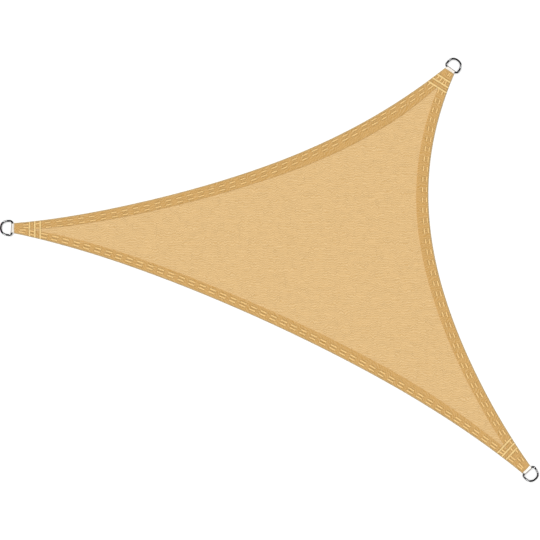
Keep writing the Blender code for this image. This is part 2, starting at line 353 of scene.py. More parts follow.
class Edge:
    """A side's outer edge, from which the hem and its rows are measured."""

    def __init__(self, side):
        self.side = side
        self.points, self.normals, self.t = side_curve(side, DENSE)
        self.arc = arc_lengths(self.points)
        self.length = float(self.arc[-1])
        self.tree = KDTree(len(self.points))
        for i, (x, y) in enumerate(self.points):
            self.tree.insert((x, y, 0.0), i)
        self.tree.balance()
        self.hem = along(side.hem, self.t)
        self.rows = {}

    def nearest(self, points):
        """Index of the sample that is nearest to each point."""
        return np.array([self.tree.find((x, y, 0.0))[1] for x, y in points])

    def measure(self, points):
        """Distance inwards, arc length, and the point's mirror in the edge."""
        i = self.nearest(points)
        away = points - self.points[i]
        normal = self.normals[i]
        gap = (away * normal).sum(axis=1)
        arc = self.arc[i] + away[:, 1] * normal[:, 0] - away[:, 0] * normal[:, 1]
        return gap, arc, points - 2 * gap[:, None] * normal

    def read(self, values, arc):
        """A quantity of the side at an arc length."""
        return np.interp(arc, self.arc, values)

    def at(self, arc):
        """Points of the edge and inward normals at arc lengths."""
        point, normal = (np.stack([self.read(values[:, k], arc) for k in (0, 1)], axis=1)
                         for values in (self.points, self.normals))
        return point, unit(normal)


def place_rows(edges):
    """Where both rows run, drawn together where a tip gets narrow."""
    for edge in edges:
        others = [other for other in edges if other is not edge]
        width = np.min(
            [np.linalg.norm(edge.points - o.points[o.nearest(edge.points)], axis=1)
             for o in others], axis=0)
        inner = np.minimum(along(edge.side.inner_row, edge.t), width / 2 - ROW_CLEAR)
        outer = np.minimum(along(edge.side.outer_row, edge.t), inner - ROW_APART)
        edge.rows = {"outer": outer, "inner": inner}


def line_frames(corner):
    """Middle, outward direction and left direction of each line across a tip."""
    outward = direction(corner.heading)
    tilted = direction(corner.heading + corner.lean)
    for depth in corner.lines:
        middle = np.array([corner.x, corner.y]) - outward * depth
        yield middle, tilted, left_of(tilted)


def sewing_of(edge):
    return next(sewing for sewing in SEWING if sewing.side == edge.side.name)


def make_dashes(edge, row, seed):
    """Start and end arc of every dash of one row, slightly uneven."""
    sewing = sewing_of(edge)
    draw = np.random.default_rng(seed)
    found = []
    middle = sewing.first
    while middle < edge.length + sewing.dash_end / 2:
        part = middle / edge.length
        lag = sewing.lag * ease((part - LAG_FROM) / LAG_OVER) if row == "inner" else 0.0
        shift, stretch = draw.uniform(-1, 1, 2) * DASH_JITTER
        half = (sewing.dash_start + (sewing.dash_end - sewing.dash_start) * part
                + stretch) / 2
        start = max(middle - lag + shift - half, TIP_CLEAR)
        end = min(middle - lag + shift + half, edge.length - TIP_CLEAR)
        if end - start > half * 2 * LEAST_DASH:
            found.append((start, end))
        middle += (sewing.pitch_start + (sewing.pitch_end - sewing.pitch_start)
                   * ease(part / PITCH_EASE))
    return found


def build_plan():
    """The three edges with their rows and dashes."""
    edges = [Edge(side) for side in SIDES]
    place_rows(edges)
    for number, edge in enumerate(edges):
        edge.dashes = {row: make_dashes(edge, row, 20 + 2 * number + (row == "inner"))
                       for row in ("outer", "inner")}
    return edges


EDGES = build_plan()


def on_dash(edge, row, arc):
    """1 where a dash is sewn, less between two dashes."""
    spans = np.array(edge.dashes[row])
    i = np.clip(np.searchsorted(spans[:, 0], arc) - 1, 0, len(spans) - 1)
    j = np.minimum(i + 1, len(spans) - 1)
    past = np.minimum(
        np.maximum(spans[i, 0] - arc, arc - spans[i, 1]),
        np.maximum(spans[j, 0] - arc, arc - spans[j, 1]))
    return PRESS_GAP + (1 - PRESS_GAP) * (1 - ease(past / PRESS_EASE + 0.5))


def tip_reads(points):
    """Per tip: the distance inwards from its end, and to the left of its middle."""
    reads = []
    for corner in CORNERS:
        away = points - np.array([corner.x, corner.y])
        outward = direction(corner.heading)
        reads.append((-away @ outward, away @ left_of(outward)))
    return reads


# --- relief of the cloth ------------------------------------------------------

def relief(points):
    """Heights of both faces of the cloth over the plan, and what is sewn there."""
    reads = [edge.measure(points) for edge in EDGES]
    tips = tip_reads(points)
    near = np.stack([np.hypot(depth, left) for depth, left in tips])
    depth = np.where(near < TIP_REACH, np.stack([d for d, _ in tips]), 1.0).min(axis=0)
    from_edge = np.minimum(np.min([gap for gap, _, _ in reads], axis=0), depth)

    inside_hem = [edge.read(edge.hem, arc) - gap
                  for edge, (gap, arc, _) in zip(EDGES, reads)]
    lips = [round_off(x / LIP) for x in inside_hem]
    soft_lips = [ease(x / SOFT_LIP) for x in inside_hem]
    stacked = np.max([lips[i] * soft_lips[i - 1] for i in range(3)], axis=0)

    press = np.zeros(len(points))
    for edge, (gap, arc, _) in zip(EDGES, reads):
        for row, places in edge.rows.items():
            off = (gap - edge.read(places, arc)) / PRESS_HALF
            press = np.maximum(press, trough(off) * on_dash(edge, row, arc))
    tail = np.zeros(len(points))
    for corner, (inwards, left) in zip(CORNERS, tips):
        for middle, outward, _ in line_frames(corner):
            off = (points - middle) @ outward
            close = np.linalg.norm(points - middle, axis=1) < TIP_REACH
            press = np.maximum(press, trough(off / PRESS_HALF) * close)
        beside = (TAPE_HALF + TAIL_SOFT / 2 - np.abs(left)) / TAIL_SOFT
        behind = (corner.tail + TAIL_SOFT / 2 - inwards) / TAIL_SOFT
        tail = np.maximum(tail, ease(beside) * ease(behind) * (inwards > -corner.half))

    lip = np.max(lips, axis=0)
    pull = press * (SINGLE_PULL + (1 - SINGLE_PULL) * lip)
    top = (PANEL_T + (HEM_T - PANEL_T) * lip + STACK * stacked
           + TAIL_RISE * tail - PRESS * pull)
    bottom = PRESS_UNDER * pull
    rounding = round_off(from_edge / FOLD)
    lift = waves(points) * ease(near.min(axis=0) / TIP_REACH)
    return {
        "top": FOLD_MID + (top - FOLD_MID) * rounding + lift,
        "bottom": FOLD_MID + (bottom - FOLD_MID) * rounding + lift,
        "from_edge": np.clip(from_edge, 0.0, None),
        "press": press,
        "inside_hem": np.stack(inside_hem),
        "mirror": np.stack([mirror for _, _, mirror in reads]),
        "reads": reads,
    }


def waves(points):
    """Height of the low waves in which the sail lies, never below the floor."""
    total = np.zeros(len(points))
    for wave in WAVES:
        phase = points @ direction(wave.degrees) * 2 * math.pi / wave.length + wave.phase
        total += wave.height * (1 + np.sin(phase)) / 2
    return total


# --- cloth mesh ---------------------------------------------------------------

def inset(loop, distance):
    """A closed clockwise loop, moved inwards with mitred corners."""
    normal = right_of(unit(np.roll(loop, -1, axis=0) - loop))
    mitre = normal + np.roll(normal, 1, axis=0)
    mitre *= 2 / (mitre ** 2).sum(axis=1)[:, None]
    return loop + distance * mitre


def inside(loop, points):
    """Which points lie inside a closed loop."""
    ahead = np.roll(loop, -1, axis=0)
    rise = ahead[:, 1] - loop[:, 1]
    rise = np.where(rise == 0, 1e-12, rise)
    result = np.zeros(len(points), dtype=bool)
    for first in range(0, len(points), CHUNK):
        part = slice(first, first + CHUNK)
        x, y = points[part, 0, None], points[part, 1, None]
        spans = (loop[:, 1] > y) != (ahead[:, 1] > y)
        cross = loop[:, 0] + (y - loop[:, 1]) * (ahead[:, 0] - loop[:, 0]) / rise
        result[part] = (spans & (x < cross)).sum(axis=1) % 2 == 1
    return result


def stations(span, step):
    """Even places from 0 to span, about a step apart."""
    return np.linspace(0.0, span, max(round(span / step), 1) + 1)


def rim_loop():
    """Closed outer edge of the cloth, clockwise, finely divided."""
    parts = []
    for edge in EDGES:
        parts.append(edge.at(stations(edge.length, LINE_STEP))[0])
        corner = corner_named(edge.side.end)
        left, right = tip_ends(corner)
        across = stations(corner.half * 2, LINE_STEP)[1:-1, None] / (corner.half * 2)
        parts.append(left + (right - left) * across)
    return np.concatenate(parts)


def hem_lines(edge):
    """Lines along a side on which the hem's relief turns."""
    arc = stations(edge.length, LINE_STEP)
    point, normal = edge.at(arc)
    hem, outer, inner = (
        edge.read(values, arc)
        for values in (edge.hem, edge.rows["outer"], edge.rows["inner"]))
    half = PRESS_HALF
    places = [np.maximum(row + half * part, FOLD * HEM_LINES_FROM)
              for row in (outer, inner) for part in PRESS_PARTS]
    places += [(outer - half) / 2 + FOLD, (inner + hem + half - LIP) / 2]
    places += [hem + LIP * part for part in LIP_PARTS]
    return [point + normal * place[:, None] for place in places]


def cross_lines(corner):
    """Lines across a tip on which the sewing's troughs turn."""
    reach = np.linspace(-CROSS_REACH, CROSS_REACH, CROSS_POINTS)[:, None]
    for middle, outward, left in line_frames(corner):
        for part in PRESS_PARTS:
            yield middle + outward * PRESS_HALF * part + left * reach


def panel_points(rim):
    """A triangular lattice over the open panel."""
    low, high = rim.min(axis=0), rim.max(axis=0)
    lattice = []
    for j, y in enumerate(np.arange(low[1], high[1], GRID * math.sqrt(0.75))):
        xs = np.arange(low[0] + GRID / 2 * (j % 2), high[0], GRID)
        lattice.append(np.stack([xs, np.full(len(xs), y)], axis=1))
    points = np.concatenate(lattice)
    points = points[inside(rim, points)]
    clear = np.full(len(points), True)
    for edge in EDGES:
        gap, arc, _ = edge.measure(points)
        clear &= gap > edge.read(edge.hem, arc) + LIP * LIP_PARTS[-1] + GRID / 3
    return points[clear]


def triangulate():
    """Plan points and triangles of the cloth."""
    rim = rim_loop()
    points, edges = [], []

    def add_line(line, closed=False):
        first = len(points)
        points.extend(Vector(p) for p in line)
        edges.extend((first + i, first + i + 1) for i in range(len(line) - 1))
        if closed:
            edges.append((first + len(line) - 1, first))

    add_line(rim, closed=True)
    for part in FOLD_PARTS:
        add_line(inset(rim, FOLD * part), closed=True)
    deep = inset(rim, FOLD * LINES_FROM)
    lines = [line for edge in EDGES for line in hem_lines(edge)]
    lines += [line for corner in CORNERS for line in cross_lines(corner)]
    for line in lines:
        kept = line[inside(deep, line)]
        if len(kept) > 1:
            add_line(kept)
    points.extend(Vector(p) for p in panel_points(rim))

    verts, _, faces, *_ = delaunay_2d_cdt(points, edges, [], 0, MERGE)
    plan = np.array([tuple(v) for v in verts])
    triangles = np.array([tuple(face) for face in faces])
    triangles = triangles[inside(rim, plan[triangles].mean(axis=1))]
    used, flat = np.unique(triangles, return_inverse=True)
    return plan[used], flat.reshape(-1, 3)


def is_rim(triangles, count):
    """Which points are on the outer edge."""
    sides = np.sort(triangles[:, [0, 1, 1, 2, 2, 0]].reshape(-1, 2), axis=1)
    pairs, uses = np.unique(sides, axis=0, return_counts=True)
    mask = np.zeros(count, dtype=bool)
    mask[pairs[uses == 1].ravel()] = True
    return mask


def make_cloth_mesh():
    """The panel with its hem: one closed shell with an upper and a lower face."""
    plan, triangles = triangulate()
    shape = relief(plan)
    rim = is_rim(triangles, len(plan))
    count = len(plan)
    under = np.arange(count)
    under[~rim] = count + np.arange((~rim).sum())

    upper = np.column_stack([plan, shape["top"]])
    lower = np.column_stack([plan, shape["bottom"]])[~rim]
    verts = np.concatenate([upper, lower])
    a, b, c = (plan[triangles[:, k]] for k in range(3))
    turned = ((b - a)[:, 0] * (c - a)[:, 1] - (b - a)[:, 1] * (c - a)[:, 0]) < 0
    top = np.where(turned[:, None], triangles[:, ::-1], triangles)
    faces = np.concatenate([top, under[top[:, ::-1]]])

    mesh = bpy.data.meshes.new("sail_cloth_fine")
    mesh.from_pydata(verts.tolist(), [], faces.tolist())
    mesh.shade_smooth()

    doubled = shape["inside_hem"][:, top].mean(axis=2) > 0
    over = np.where(doubled.any(axis=0), upper_hem(doubled), -1)
    mirrored = np.where(
        (over >= 0)[:, None, None], shape["mirror"][np.maximum(over, 0)[:, None], top],
        plan[top])
    flat = np.concatenate([mirrored, plan[top[:, ::-1]]]).reshape(-1, 2)
    mesh.uv_layers.new(name="knit").data.foreach_set("uv", flat.ravel())

    layers = np.tile(doubled.sum(axis=0), 2).astype(float)
    add_attribute(mesh, "layers", "FACE", layers)
    both = np.concatenate([np.arange(count), np.flatnonzero(~rim)])
    add_attribute(mesh, "from_edge", "POINT", shape["from_edge"][both])
    add_attribute(mesh, "press", "POINT", shape["press"][both])
    return mesh


def upper_hem(doubled):
    """Index of the side whose hem shows: at a tip the one that starts there."""
    found = np.argmax(doubled, axis=0)
    for i in range(3):
        found[doubled[i] & doubled[i - 1]] = i
    return found


def add_attribute(mesh, name, domain, values):
    mesh.attributes.new(name, "FLOAT", domain).data.foreach_set("value", values)


# --- node helpers -------------------------------------------------------------

VECTOR_MATH = "ShaderNodeVectorMath"
FULL_TURN = 2 * math.pi


class Wiring:
    """Adds nodes to a tree: a socket is linked, anything else is set."""

    def __init__(self, tree):
        self.tree = tree

    def put(self, value, socket):
        if isinstance(value, bpy.types.NodeSocket):
            self.tree.links.new(value, socket)
        else:
            socket.default_value = value

    def fill(self, node, inputs):
        """Gives a node its inputs by name."""
        for name, value in inputs.items():
            self.put(value, next(s for s in node.inputs if s.name == name and s.enabled))

    def add(self, kind, inputs=None, **settings):
        """A new node."""
        node = self.tree.nodes.new(kind)
        for name, value in settings.items():
            setattr(node, name, value)
        self.fill(node, inputs or {})
        return node

    def get(self, kind, inputs=None, output=None, **settings):
        """An output in use of a new node, the first one or by name."""
        node = self.add(kind, inputs, **settings)
        return next(s for s in node.outputs if s.enabled and output in (None, s.name))

    def group(self, tree, **inputs):
        """All outputs of a node group."""
        return self.add("ShaderNodeGroup", inputs, node_tree=tree).outputs

    def attribute(self, name):
        return self.get("ShaderNodeAttribute", output="Fac", attribute_name=name)

    def split(self, vector):
        return self.add("ShaderNodeSeparateXYZ", {"Vector": vector}).outputs

    def join(self, x=0.0, y=0.0, z=0.0):
        return self.get("ShaderNodeCombineXYZ", {"X": x, "Y": y, "Z": z})

    def math(self, operation, *values, kind="ShaderNodeMath"):
        node = self.add(kind, operation=operation)
        for value, socket in zip(values, node.inputs):
            self.put(value, socket)
        return node.outputs[0]

    def times(self, first, second, plus=None):
        """A product, to which something may be added."""
        if plus is None:
            return self.math("MULTIPLY", first, second)
        return self.math("MULTIPLY_ADD", first, second, plus)

    def swing(self, phase):
        """A sine wave between 0 and 1."""
        return self.times(self.math("SINE", phase), 0.5, 0.5)

    def every_other(self, cell):
        """0 and 1 in turn for whole numbers."""
        return self.math("MODULO", self.math("ABSOLUTE", cell), 2.0)

    def ramp(self, value, low, high, start=0.0, end=1.0):
        """Smooth change from start to end while value goes from low to high."""
        return self.get("ShaderNodeMapRange", {
            "Value": value, "From Min": low, "From Max": high, "To Min": start,
            "To Max": end}, interpolation_type="SMOOTHSTEP")

    def mix(self, factor, first, second, blend="MIX"):
        """Two colours mixed."""
        node = self.add("ShaderNodeMix", data_type="RGBA", blend_type=blend)
        for value, index in ((factor, 0), (first, 6), (second, 7)):
            self.put(value, node.inputs[index])
        return node.outputs[2]

    def shade(self, tint, tone):
        """A colour made paler or darker by a factor."""
        grey = self.get("ShaderNodeCombineColor", {"Red": tone, "Green": tone, "Blue": tone})
        return self.mix(1.0, tint, grey, "MULTIPLY")

    def bump(self, height, strength, distance):
        return self.get("ShaderNodeBump", {
            "Height": height, "Strength": strength, "Distance": distance})


def start_group(name, kind, outputs, **inputs):
    """A node group whose sockets are given by name and type."""
    tree = bpy.data.node_groups.new(name, kind)
    for way, sockets in (("INPUT", inputs), ("OUTPUT", outputs)):
        for label, socket in sockets.items():
            tree.interface.new_socket(label, in_out=way, socket_type="NodeSocket" + socket)
    w = Wiring(tree)
    return w, w.add("NodeGroupInput").outputs, w.add("NodeGroupOutput").inputs


def start_material(name):
    """A material with one Principled shader; returns it, its wiring and the shader."""
    material = bpy.data.materials.new(name)
    material.use_nodes = True
    return material, Wiring(material.node_tree), material.node_tree.nodes["Principled BSDF"]


def rgba(values):
    return (*values, 1.0)


# --- shader groups ------------------------------------------------------------

def streaks_group():
    """Uneven tone, drawn out along one way of the cloth, webbing or steel."""
    if "streaks" in bpy.data.node_groups:
        return bpy.data.node_groups["streaks"]
    w, given, out = start_group(
        "streaks", "ShaderNodeTree", {"Tone": "Float", "Height": "Float"},
        Vector="Vector", Length="Float", Width="Float", Amount="Float")
    parts = w.split(given["Vector"])
    place = w.join(*(w.math("DIVIDE", parts[axis], given[size]) for axis, size in (
        ("X", "Length"), ("Y", "Width"), ("Z", "Width"))))
    noise = w.get("ShaderNodeTexNoise", {
        "Vector": place, "Scale": 1.0, "Detail": 2.5, "Roughness": 0.62, "Distortion": 0.25})
    centred = w.math("SUBTRACT", noise, 0.5)
    w.put(w.times(centred, w.times(given["Amount"], 2.0), 1.0), out["Tone"])
    w.put(noise, out["Height"])
    return w.tree


def ripple_group():
    """Fine ripples in which knitted cloth lies, wavy and broken up."""
    w, given, out = start_group("ripples", "ShaderNodeTree", {"Height": "Float"},
                                Vector="Vector", Pitch="Float", Run="Float")
    parts = w.split(given["Vector"])
    row = w.math("DIVIDE", parts["Y"], given["Pitch"])
    way = w.math("DIVIDE", parts["X"], given["Run"])

    def uneven(lengthwise, across, offset):
        place = w.join(w.times(way, lengthwise, offset), w.times(row, across))
        return w.get("ShaderNodeTexNoise", {
            "Vector": place, "Scale": 1.0, "Detail": 2.0, "Roughness": 0.55})

    phase = w.times(uneven(1.0, 0.10, 0.0), 3.0, row)
    phase = w.times(uneven(0.3, 0.45, 20.0), 2.0, phase)
    wave = w.math("SINE", w.times(phase, FULL_TURN))
    strength = w.ramp(uneven(0.8, 0.30, 40.0), 0.35, 0.65, 0.35, 1.0)
    w.put(w.times(wave, strength), out["Height"])
    return w.tree


def knit_group():
    """Knitted shade cloth: chains of loops with slanting strands between them."""
    w, given, out = start_group("knit", "ShaderNodeTree", {"Height": "Float", "Gaps": "Float"},
                                Vector="Vector", Wale="Float", Course="Float")
    parts = w.split(given["Vector"])
    way = w.math("DIVIDE", parts["X"], given["Course"])
    across = w.math("DIVIDE", parts["Y"], given["Wale"])
    cell = w.math("FLOOR", across)
    off = w.math("SUBTRACT", w.math("SUBTRACT", across, cell), 0.5)
    beside = w.math("ABSOLUTE", off)
    chain = w.ramp(beside, 0.10, 0.30, 1.0, 0.0)
    loops = w.swing(w.times(w.times(beside, 1.2, way), FULL_TURN))
    slant = w.times(w.every_other(cell), 3.0, -1.5)
    strands = w.swing(w.times(w.times(off, slant, w.times(way, 2.0)), FULL_TURN))
    rest = w.math("SUBTRACT", 1.0, chain)
    chain_height = w.times(chain, w.times(loops, 0.4, 0.6))
    w.put(w.times(w.times(rest, strands), 0.45, chain_height), out["Height"])
    w.put(w.times(rest, w.ramp(strands, 0.0, 0.35, 1.0, 0.0)), out["Gaps"])
    return w.tree


# --- materials ----------------------------------------------------------------

FOLD_SHADE_WIDTH = 0.0070      # over which the painted shade along the fold runs out
FOLD_SHADE_SHARE = 0.75        # how much painted shade, with a little wear, there is on the fold itself
HEM_RIPPLE = 0.95        # how strong the ripples are in the hem
GAP_SHADE = 0.16          # painted shade: how much darker the gaps of the knit are painted
FULL_TONE = 1.03         # tone of the cloth beside them
PRESS_SHADE = 0.80        # painted shade: tone of the cloth in the troughs where the sewing pulls it in
RIPPLE_HEIGHT = 0.54     # millimetres
LOOP_HEIGHT = 0.28


def cloth_material(settings):
    material, w, shader = start_material("shade_cloth")
    pattern = w.get("ShaderNodeUVMap", uv_map="knit")
    knit = w.group(knit_group(), Vector=pattern, Wale=settings.wale, Course=settings.course)
    ripples = w.group(ripple_group(), Vector=pattern, Pitch=settings.ripple, Run=settings.run)
    streaks = w.group(streaks_group(), Vector=pattern, Length=0.060, Width=0.018,
                      Amount=settings.streaks)

    layers = w.attribute("layers")
    # Painted shade: the cloth is painted darker towards the rounded fold, partly wear.
    fold_shade = w.ramp(w.attribute("from_edge"), 0.0, FOLD_SHADE_WIDTH, FOLD_SHADE_SHARE, 0.0)
    base = w.mix(w.ramp(layers, 0.0, 1.0), rgba(settings.panel), rgba(settings.hem))
    base = w.mix(fold_shade, base, rgba(settings.edge))
    ripple = w.times(ripples["Height"], w.ramp(layers, 0.0, 1.0, 1.0, HEM_RIPPLE))
    # Painted light and shade: the ripples' crests are painted paler and their hollows darker.
    ripple_painted_light = w.math("MULTIPLY_ADD", ripple, settings.ripples, base, kind=VECTOR_MATH)
    # Painted shade in the gaps between the knit's strands.
    tone = w.times(streaks["Tone"], w.times(knit["Gaps"], -GAP_SHADE, FULL_TONE))
    # Painted shade in the troughs beside the sewing: the cloth is painted darker where it is
    # pulled in.
    tone = w.times(tone, w.ramp(w.attribute("press"), 0.0, 0.35, 1.0, PRESS_SHADE))
    height = w.times(ripple, RIPPLE_HEIGHT, w.times(knit["Height"], LOOP_HEIGHT))
    w.fill(shader, {
        "Base Color": w.shade(ripple_painted_light, tone),
        "Normal": w.bump(height, 1.0, 0.001),
        "Roughness": w.ramp(knit["Height"], 0.0, 1.0, settings.roughness + 0.12,
                            settings.roughness),
        "Specular IOR Level": 0.25})
    return material


def thread_material(name, thread):
    """Twisted thread; the rows share one material, and so do the tips."""
    if name in bpy.data.materials:
        return bpy.data.materials[name]
    material, w, shader = start_material(name)
    parts = w.split(w.get("ShaderNodeUVMap", uv_map="twist"))
    plies = w.swing(w.times(w.times(parts["X"], 5.0, parts["Y"]), FULL_TURN))
    # Painted shade between the plies: the grooves of the twist are painted darker, on top of a
    # random tone.
    tone = w.times(w.attribute("tone"), w.times(plies, 0.14, 0.90))
    w.fill(shader, {
        "Base Color": w.shade(rgba(thread), tone),
        "Normal": w.bump(plies, 0.6, 0.0002),
        "Roughness": w.ramp(plies, 0.0, 1.0, 0.62, 0.48),
        "Specular IOR Level": 0.3})
    return material


def webbing_material(settings):
    material, w, shader = start_material("woven_webbing")
    place = w.get("ShaderNodeUVMap", uv_map="weave")
    parts = w.split(place)
    turn = FULL_TURN / settings.rib
    cell = w.math("FLOOR", w.math("DIVIDE", parts["X"], settings.rib))
    half_step = w.times(w.every_other(cell), math.pi)
    ribs = w.math("ABSOLUTE", w.math("SINE", w.times(parts["X"], turn / 2)))
    picks = w.swing(w.times(parts["Y"], turn, half_step))
    height = w.times(ribs, w.times(picks, 0.45, 0.55))
    streaks = w.group(streaks_group(), Vector=place, Length=0.002, Width=0.012, Amount=0.10)
    # Grey on the fold: partly grime from the bar, partly painted shade.
    rubbed = w.times(w.attribute("rubbed"), w.ramp(streaks["Height"], 0.25, 0.7, 0.75, 1.0))
    base = w.mix(rubbed, rgba(settings.tape), rgba(settings.rubbed))
    w.fill(shader, {
        # Painted shade in the weave's hollows: its low parts are painted darker.
        "Base Color": w.shade(base, w.times(streaks["Tone"], w.times(height, 0.10, 0.95))),
        "Normal": w.bump(height, 0.7, 0.0004),
        "Roughness": settings.roughness,
        "Specular IOR Level": 0.25})
    return material


def steel_material(settings):
    material, w, shader = start_material("polished_steel")
    streaks = w.group(streaks_group(), Vector=w.get("ShaderNodeTexCoord", output="Object"),
                      Length=0.006, Width=0.0015, Amount=0.08)
    w.fill(shader, {
        "Base Color": w.shade(rgba(settings.steel), streaks["Tone"]),
        "Normal": w.bump(streaks["Height"], 0.05, 0.0001),
        "Roughness": w.ramp(streaks["Height"], 0.2, 0.8, settings.roughness * 0.7,
                            settings.roughness * 1.4),
        "Metallic": 1.0})
    return material


def floor_material(settings):
    """Pale as it is seen, and dark in what the steel reflects."""
    material, w, shader = start_material("pale_floor")
    noise = w.get("ShaderNodeTexNoise", {
        "Vector": w.get("ShaderNodeTexCoord", output="Object"), "Scale": 60.0, "Detail": 3.0})
    base = w.mix(noise, rgba(settings.floor), rgba(part * 0.99 for part in settings.floor))
    mirrored = w.get("ShaderNodeLightPath", output="Is Glossy Ray")
    w.fill(shader, {
        "Base Color": w.mix(mirrored, base, (0.03, 0.03, 0.03, 1.0)),
        "Emission Color": w.mix(mirrored, base, (0.0, 0.0, 0.0, 1.0)),
        "Emission Strength": settings.glow,
        "Roughness": 0.9,
        "Specular IOR Level": 0.0})
    return material


# --- objects ------------------------------------------------------------------

def add_object(name, data):
    obj = bpy.data.objects.new(name, data)
    bpy.context.scene.collection.objects.link(obj)
    return obj


def take_mesh(guide):
    """What a guide object comes to, as a mesh; the guide is removed."""
    bpy.context.view_layer.update()
    graph = bpy.context.evaluated_depsgraph_get()
    mesh = bpy.data.meshes.new_from_object(guide.evaluated_get(graph))
    bpy.data.objects.remove(guide, do_unlink=True)
    return mesh


def place_mesh(name, mesh, material, slot, *nodes):
    """A finished piece at the origin, riding on the part's one body."""
    mesh.materials.clear()
    mesh.materials.append(material)
    obj = add_object(name, mesh)
    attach(obj, "root")
    if nodes:
        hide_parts(*nodes)


# --- sewing -------------------------------------------------------------------

# One pass of the thread: (place along it, rise) and its section (across, up),
# where rise and section are in thicknesses of the thread.
THREAD_RINGS = ((-0.50, -0.30), (-0.34, 0.12), (0.0, 0.26), (0.34, 0.12), (0.50, -0.30))
THREAD_SECTION = ((0.0, -0.30), (0.52, 0.06), (0.0, 0.44), (-0.52, 0.06))
THREAD_CLEAR = 0.72      # of the lower thread's path from the floor, in thicknesses
DASH_STEP = 0.0015       # points along a dash
CROSS_STEP = 0.001       # and along a line across a tip
LINE_INSET = 0.0018      # of that line's ends from the fold


def make_pass(thickness):
    """One pass of the thread, 1 long in X, arching over the cloth from hole to hole."""
    bm = bmesh.new()
    twist = bm.loops.layers.uv.new("twist")
    count = len(THREAD_SECTION)
    rings = [[bm.verts.new((x, y * thickness, (z + rise) * thickness))
              for y, z in THREAD_SECTION] for x, rise in THREAD_RINGS]
    for i in range(len(rings) - 1):
        for j in range(count):
            k = (j + 1) % count
            face = bm.faces.new((rings[i][j], rings[i][k], rings[i + 1][k], rings[i + 1][j]))
            face.smooth = True
            corners = ((i, j), (i, j + 1), (i + 1, j + 1), (i + 1, j))
            for loop, (u, v) in zip(face.loops, corners):
                loop[twist].uv = (u / (len(rings) - 1), v / count)
    bm.faces.new(rings[0][::-1])
    bm.faces.new(rings[-1])
    return finish_mesh(bm, "thread_pass")


def finish_mesh(bm, name):
    """A bmesh as a mesh with its faces pointing out."""
    bmesh.ops.recalc_face_normals(bm, faces=bm.faces)
    mesh = bpy.data.meshes.new(name)
    bm.to_mesh(mesh)
    bm.free()
    return mesh


def sewing_tree():
    """Lays passes of thread side by side along paths, as a close zigzag stitch."""
    if "zigzag_sewing" in bpy.data.node_groups:
        return bpy.data.node_groups["zigzag_sewing"]
    w, given, out = start_group(
        "zigzag_sewing", "GeometryNodeTree", {"Geometry": "Geometry"}, Geometry="Geometry",
        Pass="Object", Thread="Material", Spacing="Float", Width="Float", Seed="Int")

    def scattered(low, high, draw):
        return w.get("FunctionNodeRandomValue", {
            "Min": low, "Max": high, "Seed": w.math("ADD", given["Seed"], draw)},
            data_type="FLOAT")

    curve = w.get("GeometryNodeMeshToCurve", {"Mesh": given["Geometry"]})
    spaced = w.get("GeometryNodeResampleCurve", {
        "Curve": curve, "Length": given["Spacing"]}, mode="LENGTH")
    tangent = w.get("GeometryNodeInputTangent")
    up = w.join(z=w.get("GeometryNodeInputNamedAttribute", {"Name": "facing"},
                        data_type="FLOAT"))
    across = w.math("CROSS_PRODUCT", tangent, up, kind=VECTOR_MATH)
    turn = w.times(w.math("MODULO", w.get("GeometryNodeInputIndex"), 2.0), 2.0, -1.0)
    slant = w.times(turn, w.math("DIVIDE", given["Spacing"], given["Width"]))
    leaning = w.get(VECTOR_MATH, {
        "Vector": tangent, "Scale": w.math("ADD", slant, scattered(-0.08, 0.08, 0.0))},
        operation="SCALE")
    turned = w.get("FunctionNodeAxesToRotation", {
        "Primary Axis": w.math("ADD", across, leaning, kind=VECTOR_MATH),
        "Secondary Axis": up}, primary_axis="X", secondary_axis="Z")
    laid = w.get("GeometryNodeInstanceOnPoints", {
        "Points": spaced,
        "Instance": w.get("GeometryNodeObjectInfo", {"Object": given["Pass"]}, "Geometry",
                          transform_space="ORIGINAL"),
        "Rotation": turned,
        "Scale": w.join(w.times(given["Width"], scattered(0.94, 1.06, 1.0)), 1.0, 1.0)})
    toned = w.get("GeometryNodeStoreNamedAttribute", {
        "Geometry": laid, "Name": "tone", "Value": scattered(0.95, 1.05, 2.0)},
        data_type="FLOAT", domain="INSTANCE")
    real = w.get("GeometryNodeRealizeInstances", {"Geometry": toned})
    w.put(w.get("GeometryNodeSetMaterial", {"Geometry": real, "Material": given["Thread"]}),
          out["Geometry"])
    return w.tree


def sew(name, paths, width, material, settings):
    """A piece of thread sewn along paths, each (plan points, row of heights, facing)."""
    verts, edges, facing = [], [], []
    for points, heights, side in paths:
        first = len(verts)
        verts.extend((x, y, z) for (x, y), z in zip(points, heights))
        facing.extend([side] * len(points))
        edges.extend((first + i, first + i + 1) for i in range(len(points) - 1))
    guide_mesh = bpy.data.meshes.new(name + "_paths")
    guide_mesh.from_pydata(verts, edges, [])
    add_attribute(guide_mesh, "facing", "POINT", facing)
    guide = add_object(name + "_paths", guide_mesh)
    thread = bpy.data.objects.new("thread_pass", make_pass(settings.thickness))

    modifier = guide.modifiers.new("sewing", "NODES")
    modifier.node_group = sewing_tree()
    values = {"Pass": thread, "Thread": material, "Spacing": settings.spacing,
              "Width": width, "Seed": settings.seed}
    for item in modifier.node_group.interface.items_tree:
        if item.in_out == "INPUT" and item.name in values:
            modifier[item.identifier] = values[item.name]
    mesh = take_mesh(guide)
    bpy.data.objects.remove(thread, do_unlink=True)
    mesh.name = name
    place_mesh(name, mesh, material, "thread")


